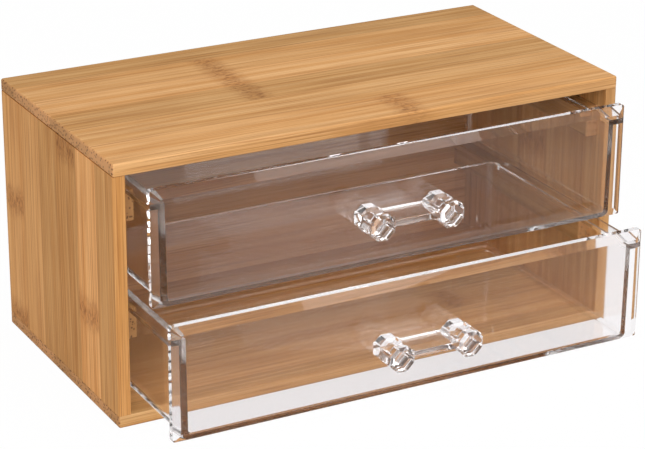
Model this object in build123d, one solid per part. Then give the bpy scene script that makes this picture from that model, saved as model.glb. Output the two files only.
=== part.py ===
from build123d import *
from math import radians, tan
import os

# Makeup organizer: an open-fronted bamboo case that holds two clear moulded drawers, one above the other.
# Lengths are millimetres. The origin is the middle of the case's underside, with +X to the right of
# someone who faces the drawers, +Z up and the front towards -Y. The drawers stand partly pulled out.

# Case
case_width = 240
case_depth = 120
case_height = 116
board = 5.5
back_panel_thickness = 3.5
rebate_depth = 2.5
outer_edge_round = 1.0
inner_edge_round = 0.4

# Drawers in their opening
drawer_side_gap = 2.5
drawer_bottom_gap = 2.0
drawer_middle_gap = 1.0
drawer_top_gap = 1.0
drawer_back_gap = 1.0
upper_pull_out = 19.0
lower_pull_out = 36.5

# Drawer moulding
front_thickness = 4.5
front_corner_round = 1.2
front_bevel_width = 3.8
front_bevel_depth = 1.7
tray_wall = 2.3
tray_floor = 2.2
tray_draft = 0.6
tray_corner_round = 5.0
tray_foot_round = 2.6
tray_inside_corner_round = 2.5
tray_inside_foot_round = 1.6
flange_width = 4.6
flange_thickness = 2.4
flange_corner_round = 3.0
rim_below_front_top = 6.5

# Runners
runner_thickness = 6.0
runner_height = 11.5
runner_setback = 0.8
runner_end_round = 0.8
flange_clearance = 0.3

# Handle, with its lengths measured outwards from the drawer's front
handle_pitch = 32.6
handle_height = 23.2
facets = 8
seat_across_flats = 9.6
bead_across_flats = 11.2
neck_across_flats = 9.2
cap_across_flats = 8.8
seat_bevel = 0.8
rear_bead_length = 4.6
neck_slope = 0.5
neck_length = 3.1
front_bead_length = 6.0
cap_bevel = 1.2
bar_thickness = 3.1
bar_rise = 0.65
bar_rear_inset = 1.0
bar_front_inset = 1.7
bar_root_height = 1.1
bar_root_round = 1.0
bar_edge_bevel = 0.3
gate_mark_radius = 1.2
gate_mark_depth = 0.3

# How near a point or an edge lies to a place that counts as the same place
same_place = 0.001

# Faces of the case that the other pieces take their places from
case_front = -case_depth / 2
case_back = case_depth / 2
inner_half_width = case_width / 2 - board
inner_floor = board
inner_ceiling = case_height - board
back_panel_front = case_back - back_panel_thickness

# Sizes of a drawer, worked out from the opening that the two fill
front_half_width = inner_half_width - drawer_side_gap
gaps_above_and_below = drawer_bottom_gap + drawer_middle_gap + drawer_top_gap
front_height = (inner_ceiling - inner_floor - gaps_above_and_below) / 2
drawer_depth = back_panel_front - case_front - drawer_back_gap
rim_height = front_height - rim_below_front_top
tray_half_width = front_half_width - flange_width
lower_drawer_floor = inner_floor + drawer_bottom_gap
upper_drawer_floor = lower_drawer_floor + front_height + drawer_middle_gap


def block(x_range, y_range, z_range):
    """A plain block between two values on each axis."""
    x_low, x_high = sorted(x_range)
    y_low, y_high = sorted(y_range)
    z_low, z_high = sorted(z_range)
    solid = Box(x_high - x_low, y_high - y_low, z_high - z_low, align=(Align.MIN, Align.MIN, Align.MIN))
    return Pos(x_low, y_low, z_low) * solid


def edges_at(shape, axis, value):
    """The edges of a shape whose middle lies at a value on an axis."""
    return shape.edges().filter_by_position(axis, value - same_place, value + same_place)


def flat_board(outer_face, inner_face):
    """The top or bottom board: full width and depth, rebated along its rear edge for the back panel."""
    wood = block((-case_width / 2, case_width / 2), (case_front, case_back), (outer_face, inner_face))
    front_lip = edges_at(wood, Axis.Z, inner_face).filter_by(Axis.X).sort_by(Axis.Y)[0]
    wood = fillet(front_lip, inner_edge_round)
    wood = fillet(wood.edges().filter_by(Axis.Z) + edges_at(wood, Axis.Z, outer_face), outer_edge_round)
    outwards = 1 if outer_face > inner_face else -1
    rebate_half_width = inner_half_width + rebate_depth
    rebate = block(
        (-rebate_half_width, rebate_half_width),
        (back_panel_front, case_back),
        (inner_face, inner_face + outwards * rebate_depth),
    )
    return wood - rebate


def side_board(side):
    """The left (-1) or right (1) board, which stands between the top and bottom boards."""
    outer_face = side * case_width / 2
    inner_face = side * inner_half_width
    wood = block((inner_face, outer_face), (case_front, case_back), (inner_floor, inner_ceiling))
    wood = fillet(edges_at(wood, Axis.X, outer_face).filter_by(Axis.Z), outer_edge_round)
    front_lip = edges_at(wood, Axis.X, inner_face).filter_by(Axis.Z).sort_by(Axis.Y)[0]
    wood = fillet(front_lip, inner_edge_round)
    rebate = block(
        (inner_face, inner_face + side * rebate_depth),
        (back_panel_front, case_back),
        (inner_floor, inner_ceiling),
    )
    return wood - rebate


def back_panel():
    """The thin panel that closes the back, glued into the rebates of the four boards."""
    half_width = inner_half_width + rebate_depth
    return block(
        (-half_width, half_width),
        (back_panel_front, case_back),
        (inner_floor - rebate_depth, inner_ceiling + rebate_depth),
    )


def runner(side, drawer_floor):
    """The strip glued to a side board, on which one flange of a drawer slides."""
    top = drawer_floor + rim_height - flange_thickness - flange_clearance
    front = case_front + front_thickness + runner_setback
    inner_face = side * (inner_half_width - runner_thickness)
    strip = block(
        (inner_face, side * inner_half_width),
        (front, back_panel_front),
        (top - runner_height, top),
    )
    exposed_edges = edges_at(strip, Axis.X, inner_face)
    front_end = exposed_edges.filter_by(Axis.Z).sort_by(Axis.Y)[:1]
    return fillet(exposed_edges.filter_by(Axis.Y) + front_end, runner_end_round)


def drafted_block(half_width, y_front, y_back, z_low, z_high, corner_round):
    """A block with rounded upright corners whose sides lean in towards its floor, as moulded walls do."""
    height = z_high - z_low
    draft_inset = height * tan(radians(tray_draft))
    length = y_back - y_front - 2 * draft_inset
    plan = RectangleRounded(2 * (half_width - draft_inset), length, corner_round)
    return extrude(Pos(0, (y_front + y_back) / 2, z_low) * plan, height, taper=-tray_draft)


def drawer_tray(drawer_floor, pull_out):
    """One clear moulding: the wide front, and behind it the narrower tray with a flange on each side."""
    front = case_front - pull_out
    front_rear = front + front_thickness
    tray_back = front + drawer_depth
    rim = drawer_floor + rim_height

    # The front, a plate with rounded corners and a wide bevel round its outer face
    rear = Plane((0, front_rear, drawer_floor + front_height / 2), x_dir=(1, 0, 0), z_dir=(0, -1, 0))
    bevel_start = rear.offset(front_thickness - front_bevel_depth)
    whole_face = Rectangle(2 * front_half_width, front_height)
    flat_face = Rectangle(2 * (front_half_width - front_bevel_width), front_height - 2 * front_bevel_width)
    plate = extrude(rear * whole_face, front_thickness - front_bevel_depth)
    plate += loft([bevel_start * whole_face, rear.offset(front_thickness) * flat_face], ruled=True)
    rounded_face = RectangleRounded(2 * front_half_width, front_height, front_corner_round)
    plate &= extrude(rear * rounded_face, front_thickness)

    # The outside and the inside of the tray, cut off square where they meet the front
    behind_front = block(
        (-tray_half_width, tray_half_width),
        (front_rear, tray_back),
        (drawer_floor, rim),
    )
    outside = drafted_block(
        tray_half_width,
        front_rear - tray_corner_round,
        tray_back,
        drawer_floor,
        rim,
        tray_corner_round,
    )
    outside = fillet(edges_at(outside, Axis.Z, drawer_floor), tray_foot_round) & behind_front
    inside = drafted_block(
        tray_half_width - tray_wall,
        front_rear - tray_corner_round,
        tray_back - tray_wall,
        drawer_floor + tray_floor,
        rim,
        tray_inside_corner_round,
    )
    inside_foot = edges_at(inside, Axis.Z, drawer_floor + tray_floor)
    inside = fillet(inside_foot, tray_inside_foot_round) & behind_front

    # The flanges on which the drawer hangs, from the front to where the rear corners start to turn
    flanges = block(
        (-front_half_width, front_half_width),
        (front_rear, tray_back - tray_corner_round),
        (rim - flange_thickness, rim),
    )
    flanges = fillet(flanges.edges().filter_by(Axis.Z).sort_by(Axis.Y)[-2:], flange_corner_round)
    return plate + outside + flanges - inside


def handle(drawer_floor, pull_out):
    """One clear moulding bonded to a drawer's front: two faceted posts and the flat bar between them."""
    front = case_front - pull_out
    axis_height = drawer_floor + handle_height
    steps = (
        (seat_across_flats, 0),
        (bead_across_flats, seat_bevel),
        (bead_across_flats, rear_bead_length),
        (neck_across_flats, neck_slope),
        (neck_across_flats, neck_length),
        (bead_across_flats, neck_slope),
        (bead_across_flats, front_bead_length),
        (cap_across_flats, cap_bevel),
    )
    post_length = sum(length for _, length in steps)

    # The bar, with fine bevels along its front edges
    bar_rear = Plane((0, front - bar_rear_inset, axis_height + bar_rise), x_dir=(1, 0, 0), z_dir=(0, -1, 0))
    bar_length = post_length - bar_rear_inset - bar_front_inset
    bar = extrude(bar_rear * Rectangle(handle_pitch, bar_thickness), bar_length)
    bar = chamfer(bar.faces().sort_by(Axis.Y)[0].edges().filter_by(Axis.X), bar_edge_bevel)

    # Seen from the front, the bar widens in small curves where it runs into the posts
    post_face = (handle_pitch - bead_across_flats) / 2
    root = Rectangle(bead_across_flats, bar_thickness + 2 * bar_root_height)
    profile = Rectangle(handle_pitch, bar_thickness)
    profile += [Pos(side * handle_pitch / 2, 0) * root for side in (-1, 1)]
    root_corners = [
        corner
        for corner in profile.vertices()
        if abs(corner.X) < post_face + same_place and abs(corner.Y) < bar_thickness / 2 + same_place
    ]
    profile = fillet(root_corners, bar_root_round)
    solid = bar + extrude(bar_rear * profile, bar_length - bar_edge_bevel)
    gate_mark = Cylinder(gate_mark_radius, gate_mark_depth, align=(Align.CENTER, Align.CENTER, Align.MAX))
    solid -= bar_rear.offset(bar_length) * gate_mark

    for side in (-1, 1):
        sections = []
        distance = 0
        for across_flats, length in steps:
            distance += length
            station = Plane(
                (side * handle_pitch / 2, front - distance, axis_height), x_dir=(1, 0, 0), z_dir=(0, -1, 0)
            )
            octagon = RegularPolygon(across_flats / 2, facets, major_radius=False, rotation=180 / facets)
            sections.append(station * octagon)
        solid += loft(sections, ruled=True)
    return solid


sub_parts = {
    "top_board": flat_board(case_height, inner_ceiling),
    "bottom_board": flat_board(0, inner_floor),
    "left_side_board": side_board(-1),
    "right_side_board": side_board(1),
    "back_panel": back_panel(),
    "upper_left_runner": runner(-1, upper_drawer_floor),
    "upper_right_runner": runner(1, upper_drawer_floor),
    "lower_left_runner": runner(-1, lower_drawer_floor),
    "lower_right_runner": runner(1, lower_drawer_floor),
    "upper_drawer_tray": drawer_tray(upper_drawer_floor, upper_pull_out),
    "lower_drawer_tray": drawer_tray(lower_drawer_floor, lower_pull_out),
    "upper_drawer_handle": handle(upper_drawer_floor, upper_pull_out),
    "lower_drawer_handle": handle(lower_drawer_floor, lower_pull_out),
}

os.makedirs("parts", exist_ok=True)
for name, shape in sub_parts.items():
    shape.label = name
    export_step(shape, f"parts/{name}.step")
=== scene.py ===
# %% [markdown]
# This lesson dresses a small desk organizer: an open-fronted bamboo case with two clear moulded drawers,
# one above the other, drawn partly out. The shapes come measured from the part's own model. What is
# left to Blender is the finish: bamboo strip that was glued, sanded and lacquered, clear plastic that
# bends the light at every edge, and the plain studio that it all stands in.

# %% Load the measured model
from math import cos, radians, sin

import bmesh
import bpy
from mathutils import Matrix, Vector


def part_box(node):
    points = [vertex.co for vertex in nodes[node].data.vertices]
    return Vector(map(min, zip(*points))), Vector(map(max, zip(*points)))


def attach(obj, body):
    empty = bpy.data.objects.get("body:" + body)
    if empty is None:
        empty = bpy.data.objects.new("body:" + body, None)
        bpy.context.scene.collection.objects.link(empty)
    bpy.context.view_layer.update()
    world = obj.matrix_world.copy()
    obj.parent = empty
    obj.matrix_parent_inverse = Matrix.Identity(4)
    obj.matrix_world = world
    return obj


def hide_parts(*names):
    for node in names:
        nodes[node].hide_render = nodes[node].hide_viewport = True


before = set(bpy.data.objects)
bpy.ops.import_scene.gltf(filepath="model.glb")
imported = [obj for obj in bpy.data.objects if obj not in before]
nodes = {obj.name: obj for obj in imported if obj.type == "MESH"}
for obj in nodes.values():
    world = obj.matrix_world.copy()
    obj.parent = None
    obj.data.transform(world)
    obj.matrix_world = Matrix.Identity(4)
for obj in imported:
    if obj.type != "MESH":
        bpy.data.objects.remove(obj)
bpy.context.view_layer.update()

MM = 0.001
X, Y, Z = 0, 1, 2

# %% [markdown]
# The camera stands to the left of the organizer and above it, a good way off, so that the upright edges
# of the case look nearly parallel. A camera can be moved by hand until its view matches, but here its
# place was worked out from the corners of the case in the photograph, because that also gives the
# proportions of the case. The place is in the part's own frame. The turn to the right, the tilt down and
# the roll are in degrees, and the focal length is in pixels of a picture 645 pixels wide.

# %% Camera
CAMERA_PLACE = Vector((-474.8, -889.7, 455.7)) * MM
CAMERA_TURN = 28.42
CAMERA_TILT = 22.07
CAMERA_ROLL = 0.39
FOCAL_LENGTH_PX = 2443.8
PHOTO_WIDTH_PX = 645
SENSOR_WIDTH = 36
FARTHEST_SEEN = 20

turn, tilt = radians(CAMERA_TURN), radians(CAMERA_TILT)
forwards = Vector((sin(turn) * cos(tilt), cos(turn) * cos(tilt), -sin(tilt)))
rightwards = Vector((cos(turn), -sin(turn), 0))
upwards = rightwards.cross(forwards)
facing = Matrix((rightwards, upwards, -forwards)).transposed().to_4x4()
roll = Matrix.Rotation(radians(CAMERA_ROLL), 4, "Z")

lens_data = bpy.data.cameras.new("camera")
lens_data.sensor_width = SENSOR_WIDTH
lens_data.lens = FOCAL_LENGTH_PX * SENSOR_WIDTH / PHOTO_WIDTH_PX
lens_data.clip_end = FARTHEST_SEEN
camera = bpy.data.objects.new("camera", lens_data)
bpy.context.scene.collection.objects.link(camera)
camera.matrix_world = Matrix.Translation(CAMERA_PLACE) @ facing @ roll
bpy.context.scene.camera = camera
print("lens", round(lens_data.lens, 1), "mm")

# %% [markdown]
# A finish is a tree of shader nodes. Written out node by node, its arithmetic is hard to read, so a
# number that varies over the surface is wrapped in a small class, and Python's own operators add the
# Math nodes.

# %% Shader arithmetic
class Varying:
    """A value that varies over a surface, as an output socket with arithmetic."""

    def __init__(self, socket):
        self.socket = socket

    def maths(self, operation, *others, swapped=False):
        """A Math node on this value and others, or on the others first where swapped."""
        tree = self.socket.id_data
        node = tree.nodes.new("ShaderNodeMath")
        node.operation = operation
        values = (*others, self) if swapped else (self, *others)
        for value, socket in zip(values, node.inputs):
            if isinstance(value, Varying):
                tree.links.new(value.socket, socket)
            else:
                socket.default_value = value
        return Varying(node.outputs[0])

    def __add__(self, other):
        return self.maths("ADD", other)

    def __sub__(self, other):
        return self.maths("SUBTRACT", other)

    def __rsub__(self, other):
        return self.maths("SUBTRACT", other, swapped=True)

    def __mul__(self, other):
        return self.maths("MULTIPLY", other)

    def __truediv__(self, other):
        return self.maths("DIVIDE", other)

    def __pow__(self, other):
        return self.maths("POWER", other)

    __radd__ = __add__
    __rmul__ = __mul__

    def size(self):
        """The value without its sign."""
        return self.maths("ABSOLUTE")

    def step(self, low, high):
        """0 below low, 1 above high and a smooth rise between them."""
        tree = self.socket.id_data
        node = tree.nodes.new("ShaderNodeMapRange")
        node.interpolation_type = "SMOOTHSTEP"
        tree.links.new(self.socket, node.inputs["Value"])
        node.inputs["From Min"].default_value = low
        node.inputs["From Max"].default_value = high
        return Varying(node.outputs["Result"])

    def bump_at(self, middle, reach):
        """1 at the middle and 0 further than reach from it."""
        return 1 - (self - middle).size().step(0, reach)


print("shader arithmetic ready")

# %% [markdown]
# Every other node comes from one method, which takes the node's type, its settings and what goes into
# its sockets. The class that holds it belongs to one material, or to the world behind the scene, because
# both are painted with the same kinds of node.

# %% Finishes
class Finish:
    """The node tree of a material or a world, with one method that adds any node to it."""

    def __init__(self, owner):
        owner.use_nodes = True
        self.tree = owner.node_tree
        self.tree.nodes.clear()

    def node(self, kind, settings=None, sockets=None, out=0):
        """A new node, its settings made first and its sockets given values or links after that."""
        node = self.tree.nodes.new("ShaderNode" + kind)
        for name, value in (settings or {}).items():
            setattr(node, name, value)
        for name, value in (sockets or {}).items():
            if isinstance(value, Varying):
                self.tree.links.new(value.socket, node.inputs[name])
            else:
                node.inputs[name].default_value = value
        return Varying(node.outputs[out]) if node.outputs else None

    def mix(self, share, colour, other, blend="MIX"):
        """One colour over another, by a share from 0 to 1."""
        node = self.tree.nodes.new("ShaderNodeMix")
        node.data_type = "RGBA"
        node.blend_type = blend
        for name, value in (("Factor_Float", share), ("A_Color", colour), ("B_Color", other)):
            socket = next(socket for socket in node.inputs if socket.identifier == name)
            if isinstance(value, Varying):
                self.tree.links.new(value.socket, socket)
            elif isinstance(value, tuple):
                socket.default_value = (*value, 1)
            else:
                socket.default_value = value
        return Varying(next(socket for socket in node.outputs if socket.identifier == "Result_Color"))

    def place(self):
        """The three coordinates of a point, in millimetres in the part's frame."""
        point = self.node("TexCoord", out="Object")
        split = self.tree.nodes.new("ShaderNodeSeparateXYZ")
        self.tree.links.new(point.socket, split.inputs[0])
        return [Varying(output) / MM for output in split.outputs]

    def vector(self, x, y, z):
        """Three values as one vector."""
        return self.node("CombineXYZ", sockets={"X": x, "Y": y, "Z": z})

    def noise(self, vector, detail=2.0, roughness=0.5, distortion=0.0):
        """Smooth random values, mostly near a half, with blobs about as large as one unit of the vector."""
        return self.node(
            "TexNoise",
            {"noise_dimensions": "3D"},
            {
                "Vector": vector,
                "Scale": 1.0,
                "Detail": detail,
                "Roughness": roughness,
                "Distortion": distortion,
            },
        )


def colour(red, green, blue):
    """A colour as a picture shows it, from 0 to 255, made linear for a shader."""
    shares = [value / 255 for value in (red, green, blue)]
    return tuple(s / 12.92 if s <= 0.04045 else ((s + 0.055) / 1.055) ** 2.4 for s in shares)


def layer(noise, limits):
    """How strongly a layer shows: none below the first limit, and its whole share above the second."""
    low, high, share = limits
    return noise.step(low, high) * share


def dress(node, material):
    """Gives a piece of the measured model its one material."""
    materials = nodes[node].data.materials
    materials.clear()
    materials.append(material)


print("finishes ready")

# %% [markdown]
# The case is bamboo of the flat-pressed kind: strips about 20 mm wide, split from the culm and glued
# edge to edge. Each strip has its own tone. Along it run fibre bundles about half a millimetre thick, and
# where the culm had a joint, the strip shows a knuckle: a brown band of short dark flecks. Across a sawn
# end the bundles show as dots. A picture of bamboo could be wrapped round each board, but it wouldn't
# meet itself at the edges. So noise that is stretched along the grain draws the wood in the part's own
# coordinates, and it runs through a board and round its edges as the real grain does.

# %% Colours and sizes of the bamboo
PALE_BAMBOO = colour(218, 169, 112)
HONEY_BAMBOO = colour(198, 141, 78)
DARK_FIBRE = colour(150, 94, 44)
PALE_FIBRE = colour(236, 194, 142)
KNUCKLE_BROWN = colour(176, 118, 62)
FLECK_BROWN = colour(132, 82, 40)
END_GRAIN = colour(198, 144, 92)
END_DOT = colour(108, 66, 34)

# Sizes in millimetres. A knuckle reaches so far from its middle along the grain, drifts from side to side
# with each wave across it, spills past its strips and fades within them. The end grain starts, and is
# whole, so far below a sawn face.
STRIP_WIDTH = 20
STRIP_SHIFT = 90
FIBRE_WIDTH = 0.42
FIBRE_LENGTH = 60
STREAK_WIDTH = 7 * FIBRE_WIDTH
STREAK_LENGTH = 3 * FIBRE_LENGTH
STREAK_DEPTH = 6
MOTTLE_WIDTH = 10
MOTTLE_LENGTH = 40
FLECK_WIDTH = 0.8
FLECK_LENGTH = 3.5
KNUCKLE_REACH = 10
KNUCKLE_WAVE = 9
KNUCKLE_DRIFT = 6
KNUCKLE_SPILL = 1
KNUCKLE_FADE = 1.5
END_STARTS = 0.7
END_WHOLE = 0.25
DOT_SPACING = 1.4
DOT_LENGTH = 50
RELIEF_HEIGHT = 0.4

# Layers that go by noise: where one starts to show, where it is whole, and its share there, if below 1
STREAKS = (0.25, 0.75)
DARK_FIBRES = (0.49, 0.66, 0.64)
PALE_FIBRES = (0.52, 0.68, 0.4)
MOTTLES = (0.4, 0.8, 0.18)
FLECKS = (0.47, 0.6, 0.8)
KNUCKLE_SHARE = 0.5

# The same for a seam, by the distance from its strip's middle in strip widths. A dot at a sawn end is
# whole within the first distance from its bundle's middle, in dot spacings, and gone past the second.
SEAMS = (0.48, 0.495, 0.35)
DOT_EDGE = (0.18, 0.42)
DOT_SHARE = 0.9

# The tone of a strip, and how much faster its blue falls, because a darker strip is also a warmer one
TONE_SEED_STEP = 7.3
DARKEST_STRIP = 0.82
TONE_SPREAD = 0.28
WARMTH = 1.3

# The lacquer, and how much of the relief comes from fibres and streaks and is lost at an end's dots
LACQUER_INDEX = 1.45
LACQUER_ROUGHNESS = 0.42
FIBRE_ROUGHNESS = 0.12
RELIEF_STRENGTH = 0.12
FIBRE_RELIEF = 0.6
STREAK_RELIEF = 0.4
DOT_RELIEF = 0.8
print("strips", STRIP_WIDTH, "mm wide, fibres", FIBRE_WIDTH, "mm")

# %% [markdown]
# One function makes the finish of any board, given the directions of its grain, strips and thickness.
# It lays colour over colour: broad streaks, dark and pale fibres, mottle, the seams between strips, and
# knuckles where the board has any. Last come the sawn ends, the tone of each strip, the painted light
# and shade of the whole board, and a faint relief, because the lacquer doesn't quite level the fibres.

# %% Bamboo finish
def knuckle_mask(finish, along, across, through, knuckles):
    """How strongly a point belongs to a knuckle: 1 at its middle, 0 outside it."""
    halo = 0.0
    for middle, start, stop in knuckles:
        wave = finish.vector(middle, across / KNUCKLE_WAVE, through / KNUCKLE_WAVE)
        drift = finish.noise(wave, detail=1) * KNUCKLE_DRIFT - KNUCKLE_DRIFT / 2
        band = (along + drift).bump_at(middle, KNUCKLE_REACH)
        begun = across.step(start - KNUCKLE_SPILL, start + KNUCKLE_FADE)
        ended = across.step(stop - KNUCKLE_FADE, stop + KNUCKLE_SPILL)
        halo = band * (begun * (1 - ended)) + halo
    return halo


def bamboo(name, directions, ends, strip_start, seed, knuckles=(), painted_light_and_shade=(1, 1, 1)):
    """The finish of one board, with sizes in millimetres.

    directions are the axes along the grain, across the strips and through the board. ends is how far from
    the middle the sawn ends lie, and strip_start is where one strip begins. seed picks the tones of the
    strips. Each knuckle is (its place along the grain, start and stop across it). The last argument
    multiplies the colour of the whole board: it is painted light where it makes a board lighter and
    warmer, and painted shade where it makes one darker.
    """
    material = bpy.data.materials.new(name)
    finish = Finish(material)
    axes = finish.place()
    along, across, through = (axes[direction] for direction in directions)

    strips = (across - strip_start) / STRIP_WIDTH
    tone_seed = strips.maths("FLOOR") + directions[0] * TONE_SEED_STEP + seed
    strip_tone = finish.node("TexWhiteNoise", {"noise_dimensions": "1D"}, {"W": tone_seed})
    shifted = along + strip_tone * STRIP_SHIFT

    fine = finish.noise(
        finish.vector(shifted / FIBRE_LENGTH, across / FIBRE_WIDTH, through / FIBRE_WIDTH),
        detail=4,
        roughness=0.6,
    )
    broad = finish.noise(
        finish.vector(shifted / STREAK_LENGTH, across / STREAK_WIDTH, through / STREAK_DEPTH)
    )
    mottle = finish.noise(
        finish.vector(shifted / MOTTLE_LENGTH, across / MOTTLE_WIDTH, through / MOTTLE_WIDTH)
    )
    off_centre = (strips.maths("FRACT") - 0.5).size()

    wood = finish.mix(broad.step(*STREAKS), HONEY_BAMBOO, PALE_BAMBOO)
    wood = finish.mix(layer(fine, DARK_FIBRES), wood, DARK_FIBRE)
    wood = finish.mix(layer(1 - fine, PALE_FIBRES), wood, PALE_FIBRE)
    wood = finish.mix(layer(mottle, MOTTLES), wood, DARK_FIBRE)
    wood = finish.mix(layer(off_centre, SEAMS), wood, DARK_FIBRE)

    if knuckles:
        flecks = finish.noise(
            finish.vector(along / FLECK_LENGTH, across / FLECK_WIDTH, through / FLECK_WIDTH),
            detail=3,
            roughness=0.65,
            distortion=0.3,
        )
        halo = knuckle_mask(finish, along, across, through, knuckles)
        wood = finish.mix(halo * KNUCKLE_SHARE, wood, KNUCKLE_BROWN)
        wood = finish.mix(halo * layer(flecks, FLECKS), wood, FLECK_BROWN)

    sawn = along.size().step(ends - END_STARTS, ends - END_WHOLE)
    bundles = finish.vector(along / DOT_LENGTH, across / DOT_SPACING, through / DOT_SPACING)
    from_bundle = finish.node("TexVoronoi", {"feature": "F1"}, {"Vector": bundles, "Scale": 1.0})
    dot = 1 - from_bundle.step(*DOT_EDGE)
    wood = finish.mix(sawn, wood, finish.mix(dot * DOT_SHARE, END_GRAIN, END_DOT))

    # The strip's own tone, which differs at random, multiplied by the board's painted light and shade
    light = DARKEST_STRIP + strip_tone * TONE_SPREAD
    tone_and_painted_light = finish.vector(light * painted_light_and_shade[0], light * painted_light_and_shade[1], light**WARMTH * painted_light_and_shade[2])
    wood = finish.mix(1.0, wood, tone_and_painted_light, "MULTIPLY")

    relief = fine * FIBRE_RELIEF + broad * STREAK_RELIEF - sawn * dot * DOT_RELIEF
    surface = finish.node(
        "Bump",
        sockets={"Height": relief, "Strength": RELIEF_STRENGTH, "Distance": RELIEF_HEIGHT * MM},
    )
    lacquered = finish.node(
        "BsdfPrincipled",
        sockets={
            "Base Color": wood,
            "Roughness": LACQUER_ROUGHNESS + fine * FIBRE_ROUGHNESS,
            "Normal": surface,
            "IOR": LACQUER_INDEX,
        },
    )
    finish.node("OutputMaterial", sockets={"Surface": lacquered})
    return material


print("bamboo finish ready")

# %% [markdown]
# No two boards are alike, so each gets a finish of its own. The knuckles that the photograph shows are in
# their places, and a few more are guessed. The grain runs from side to side in the top, bottom and back,
# and upright in the sides, whose ends are hidden by the boards that they meet. The runners are plain
# strip with the grain from front to back. Painted light makes the left board lighter and warmer, and
# painted shade darkens the right board, the back and the runners, over their whole surface, outer faces
# too. The length of a runner's name serves as its seed.

# %% Bamboo on the boards
CASE_HALF_WIDTH = 120
BACK_HALF_WIDTH = 117
ENDS_HIDDEN = 400
TOP_KNUCKLES = ((-32, -16, 44), (18, -60, -36))
BOTTOM_KNUCKLES = ((60, -30, -10),)
LEFT_KNUCKLES = ((41, -42, -21), (63, 38, 58), (107, -21, -2), (8, 38, 58))
RIGHT_KNUCKLES = ((70, -14, 6),)
BACK_KNUCKLES = ((-50, 24, 44), (35, 64, 84))
# Painted light makes the left board lighter and warmer; painted shade darkens the right board, the back and
# the runners
LEFT_PAINTED_LIGHT = (1.1, 1.01, 0.88)
RIGHT_PAINTED_SHADE = (0.94, 0.92, 0.9)
BACK_PAINTED_SHADE = (0.84, 0.8, 0.8)
RUNNER_PAINTED_SHADE = (0.7, 0.68, 0.6)

flat, upright, back, lengthwise = (X, Y, Z), (Z, Y, X), (X, Z, Y), (Y, Z, X)
board_finishes = {
    "top_board": bamboo(
        "bamboo_top", flat, ends=CASE_HALF_WIDTH, strip_start=-76, seed=1.7, knuckles=TOP_KNUCKLES
    ),
    "bottom_board": bamboo(
        "bamboo_bottom", flat, ends=CASE_HALF_WIDTH, strip_start=-70, seed=5.1, knuckles=BOTTOM_KNUCKLES
    ),
    "left_side_board": bamboo(
        "bamboo_left", upright, ends=ENDS_HIDDEN, strip_start=-62, seed=2.9,
        knuckles=LEFT_KNUCKLES, painted_light_and_shade=LEFT_PAINTED_LIGHT,
    ),
    "right_side_board": bamboo(
        "bamboo_right", upright, ends=ENDS_HIDDEN, strip_start=-54, seed=8.4,
        knuckles=RIGHT_KNUCKLES, painted_light_and_shade=RIGHT_PAINTED_SHADE,
    ),
    "back_panel": bamboo(
        "bamboo_back", back, ends=BACK_HALF_WIDTH, strip_start=4, seed=3.3,
        knuckles=BACK_KNUCKLES, painted_light_and_shade=BACK_PAINTED_SHADE,
    ),
}
for side in ("left", "right"):
    for level in ("upper", "lower"):
        node = f"{level}_{side}_runner"
        front_end = -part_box(node)[0][Y] / MM
        board_finishes[node] = bamboo(
            f"bamboo_{node}", lengthwise, ends=front_end, strip_start=0, seed=len(node), painted_light_and_shade=RUNNER_PAINTED_SHADE
        )
for node, material in board_finishes.items():
    dress(node, material)
print(len(board_finishes), "bamboo finishes")

# %% [markdown]
# The drawers and handles are clear moulded plastic. Nothing is painted on it: what it looks like is what
# its edges bend and reflect. So the finish is a glass-like shader with the plastic's own refractive
# index. For rays that look for a lamp it lets the light straight through, because otherwise the inside of
# the case would go dark behind plastic that in fact hardly dims it. The front plate is polished. The
# tray's side walls, flanges and front foot are a little satin, which spreads what they show into the
# even grey bands that the photograph has at the ends of the drawers.

# %% Clear plastic
PLASTIC_INDEX = 1.48
PLASTIC_TINT = (1, 0.985, 0.99, 1)
LIGHT_LET_THROUGH = (0.92, 0.91, 0.9, 1)
SATIN_ROUGHNESS = 0.08
SMUDGE_SIZE = 35
SMUDGES = (0.55, 0.9, 0.02)

# Where the satin starts and where it is whole, in millimetres: behind the plate, from the middle of the
# drawer to its side, and, for the front foot, behind the plate and above the underside
BEHIND_PLATE = (0.2, 1)
SIDE_WALLS = (103.5, 105)
FRONT_FOOT = (3, 4)


def clear_plastic(name, plate_rear, underside):
    """Clear plastic for one drawer, polished on its plate and satin on the sides and foot of its tray."""
    material = bpy.data.materials.new(name)
    finish = Finish(material)
    x, y, z = finish.place()
    smudges = finish.noise(
        finish.vector(x / SMUDGE_SIZE, y / SMUDGE_SIZE, z / SMUDGE_SIZE), detail=3, roughness=0.6
    )
    behind_plate = y.step(*(plate_rear + distance for distance in BEHIND_PLATE))
    side_walls = x.size().step(*SIDE_WALLS)
    past_foot = y.step(*(plate_rear + distance for distance in FRONT_FOOT))
    above_foot = z.step(*(underside + distance for distance in FRONT_FOOT))
    front_foot = (1 - past_foot) * (1 - above_foot)
    satin = behind_plate * side_walls.maths("MAXIMUM", front_foot)
    clear = finish.node(
        "BsdfPrincipled",
        sockets={
            "Base Color": PLASTIC_TINT,
            "Roughness": layer(smudges, SMUDGES) + satin * SATIN_ROUGHNESS,
            "IOR": PLASTIC_INDEX,
            "Transmission Weight": 1.0,
        },
    )
    lamp_ray = finish.node("LightPath", out="Is Shadow Ray")
    open_way = finish.node("BsdfTransparent", sockets={"Color": LIGHT_LET_THROUGH})
    mixed = finish.node("MixShader", sockets={0: lamp_ray, 1: clear, 2: open_way})
    finish.node("OutputMaterial", sockets={"Surface": mixed})
    return material


print("clear plastic ready")

# %% [markdown]
# A drawer carries its finish with it when it slides, and the satin starts behind its plate. The drawers
# are drawn out by different lengths, so each gets its own copy of the finish, measured from its own box.

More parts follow.
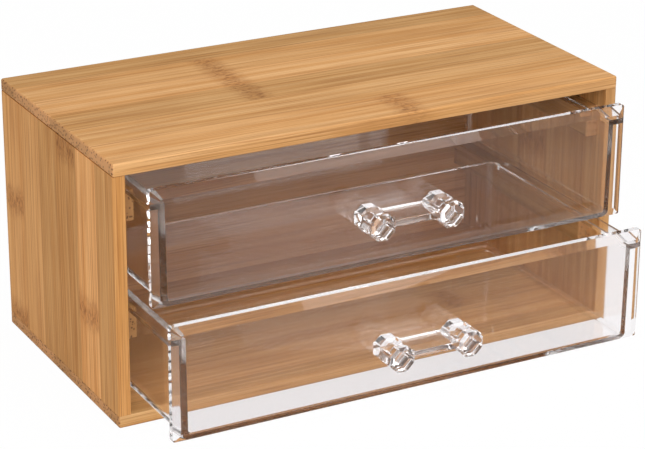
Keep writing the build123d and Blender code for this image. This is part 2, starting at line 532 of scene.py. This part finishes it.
# %% Plastic on the drawers
PLATE_THICKNESS = 4.5

plastics = {}
for level in ("upper", "lower"):
    tray = f"{level}_drawer_tray"
    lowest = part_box(tray)[0]
    plate_rear = lowest[Y] / MM + PLATE_THICKNESS
    underside = lowest[Z] / MM
    plastics[level] = clear_plastic(f"clear_plastic_{level}", plate_rear, underside)
    dress(tray, plastics[level])
    dress(f"{level}_drawer_handle", plastics[level])
    print(tray, "plate ends at y", round(plate_rear, 1))

# %% [markdown]
# A handle is one clear moulding with facets like those of a cut gem, and its edges are what the eye
# finds: each is a thin bright line. A sharp edge in a mesh has no width to catch light, so each handle is
# copied, its loose triangles are merged back into whole facets, and a bevel rounds every edge a little.
# The copy also reaches a hair into the plate that carries it, because the real joint is bonded: light
# crosses it as if there were no surface there at all.

# %% Handles with polished edges
EDGE_ROUND = 0.22 * MM
EDGE_STEPS = 3
BOND_DEPTH = 0.5 * MM
SAME_POINT = 0.001 * MM

# An edge that turns less than the first angle only divides a facet. One that turns more than the second
# is a real edge, and is rounded.
FLAT_TURN = radians(1)
SHARP_TURN = radians(12)


def polished_copy(node, plastic):
    """A merged copy of a moulded node with its sharp edges rounded, sunk a little where it is bonded."""
    mesh = bmesh.new()
    mesh.from_mesh(nodes[node].data)
    bmesh.ops.remove_doubles(mesh, verts=mesh.verts, dist=SAME_POINT)
    bmesh.ops.dissolve_limit(mesh, angle_limit=FLAT_TURN, verts=mesh.verts, edges=mesh.edges)
    rear = max(vert.co.y for vert in mesh.verts)
    bonded = [vert for vert in mesh.verts if vert.co.y > rear - SAME_POINT]
    sharp = [edge for edge in mesh.edges if edge.is_manifold and edge.calc_face_angle() > SHARP_TURN]
    sharp = [edge for edge in sharp if not all(vert in bonded for vert in edge.verts)]
    bmesh.ops.translate(mesh, verts=bonded, vec=(0, BOND_DEPTH, 0))
    bmesh.ops.bevel(
        mesh,
        geom=sharp,
        offset=EDGE_ROUND,
        offset_type="OFFSET",
        affect="EDGES",
        segments=EDGE_STEPS,
        profile=0.5,
        material=-1,
        clamp_overlap=True,
    )
    data = bpy.data.meshes.new(f"{node}_polished")
    mesh.to_mesh(data)
    mesh.free()
    data.materials.append(plastic)
    piece = bpy.data.objects.new(f"{node}_polished", data)
    bpy.context.scene.collection.objects.link(piece)
    return piece


for level in ("upper", "lower"):
    node = f"{level}_drawer_handle"
    piece = polished_copy(node, plastics[level])
    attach(piece, f"{level}_drawer")
    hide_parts(node)
    print(piece.name, len(piece.data.polygons), "faces")

# %% [markdown]
# The studio is as plain as can be: a white floor that goes on past the view, a white surround and four
# soft lamps. More light would turn the floor pure white, but it would bleach the case too. So camera rays,
# and rays that have passed through the plastic, see mostly light of the floor's own, and the shadow on it
# only as a trace, as in the photograph. Mirrored rays see it dimmed, because the photograph shows only a
# thin haze on the drawer fronts. Blender counts a ray that the plastic has bent as mirrored too, so those
# that have passed through are taken out of the mirrored ones.

# %% Floor
FLOOR_REACH = 6
FLOOR_WHITE = 0.88
FLOOR_GLOW = 0.97
MIRRORED_WHITE = 0.12
WHITE = (1, 1, 1, 1)

floor_mesh = bmesh.new()
bmesh.ops.create_grid(floor_mesh, x_segments=1, y_segments=1, size=FLOOR_REACH)
floor_data = bpy.data.meshes.new("floor")
floor_mesh.to_mesh(floor_data)
floor_mesh.free()
floor = bpy.data.objects.new("floor", floor_data)
bpy.context.scene.collection.objects.link(floor)


def ray_kinds(finish):
    """1 for rays from the camera or through the plastic, and 1 for rays that a surface mirrored.

    Light that a matte surface has already spread is neither, so the glow doesn't light the case.
    """
    camera_ray, mirrored, through = (
        finish.node("LightPath", out=f"Is {kind} Ray") for kind in ("Camera", "Glossy", "Transmission")
    )
    spread = finish.node("LightPath", out="Diffuse Depth").maths("MINIMUM", 1)
    return camera_ray.maths("MAXIMUM", through) * (1 - spread), mirrored * (1 - through)


paper = bpy.data.materials.new("white_floor")
finish = Finish(paper)
direct, mirrored = ray_kinds(finish)
matte = finish.node("BsdfDiffuse", sockets={"Color": (FLOOR_WHITE, FLOOR_WHITE, FLOOR_WHITE, 1)})
glow = finish.node("Emission", sockets={"Color": WHITE, "Strength": 1.0})
dimmed = finish.node("Emission", sockets={"Color": WHITE, "Strength": MIRRORED_WHITE})
white = finish.node("MixShader", sockets={0: direct * FLOOR_GLOW, 1: matte, 2: glow})
seen = finish.node("MixShader", sockets={0: mirrored, 1: white, 2: dimmed})
finish.node("OutputMaterial", sockets={"Surface": seen})
floor_data.materials.append(paper)
print("floor", 2 * FLOOR_REACH, "m square")

# %% [markdown]
# Beyond the floor lies the world, which lights the case evenly from all sides. Walls round the set could
# do that as well, but the world needs no shape. As with the floor, the camera sees it pure white, and
# mirrored rays see it dimmed.

# %% World
SURROUND_LIGHT = 0.56

world = bpy.data.worlds.new("studio")
bpy.context.scene.world = world
finish = Finish(world)
direct, mirrored = ray_kinds(finish)
strength = SURROUND_LIGHT + direct * (1 - SURROUND_LIGHT) + mirrored * (MIRRORED_WHITE - SURROUND_LIGHT)
surround = finish.node("Background", sockets={"Color": WHITE, "Strength": strength})
finish.node("OutputWorld", sockets={"Surface": surround})
print("surround", SURROUND_LIGHT)

# %% [markdown]
# Three large soft boxes give the case its form: one above for the top, a stronger one in front, and a
# low one at the left for the side face. The fourth is small and dim, and it stands where the bevels along
# the top of the drawer fronts mirror it towards the camera. Square area lamps are the right kind here,
# because they show up in clear plastic as the soft boxes of a real studio do.

# %% Lamps
LAMP_TARGET = Vector((0, 0, 0.06))
LAMPS = {
    "lamp_above": {"place": (0.1, -0.2, 1.6), "size": 1.2, "watts": 8},
    "lamp_front": {"place": (-0.4, -1.3, 1.3), "size": 1.2, "watts": 16},
    "lamp_left": {"place": (-1.3, -1.0, 0.45), "size": 0.8, "watts": 4.5},
    "lamp_bevel": {"place": (0.79, -1.48, 0.73), "size": 0.25, "watts": 0.5},
}


def soft_lamp(name, place, size, watts):
    """A square soft box, its place and size in metres, turned to face the case."""
    data = bpy.data.lights.new(name, "AREA")
    data.shape = "SQUARE"
    data.size = size
    data.energy = watts
    lamp = bpy.data.objects.new(name, data)
    bpy.context.scene.collection.objects.link(lamp)
    away = (Vector(place) - LAMP_TARGET).normalized()
    lamp.matrix_world = Matrix.Translation(place) @ away.to_track_quat("Z", "Y").to_matrix().to_4x4()


for name, lamp in LAMPS.items():
    soft_lamp(name, **lamp)
print(len(LAMPS), "lamps placed")

# %% [markdown]
# A ray that enters a drawer front crosses many surfaces before it leaves, and one that runs out of
# bounces turns black. So the limits are raised well above the usual ones. Colours are shown as written,
# with the Standard view, because the other views would bend them.

# %% Bounces and plain colours
LIGHT_BOUNCES = 48
bpy.context.scene.cycles.max_bounces = LIGHT_BOUNCES
bpy.context.scene.cycles.transmission_bounces = LIGHT_BOUNCES
bpy.context.scene.cycles.glossy_bounces = LIGHT_BOUNCES
bpy.context.scene.view_settings.view_transform = "Standard"
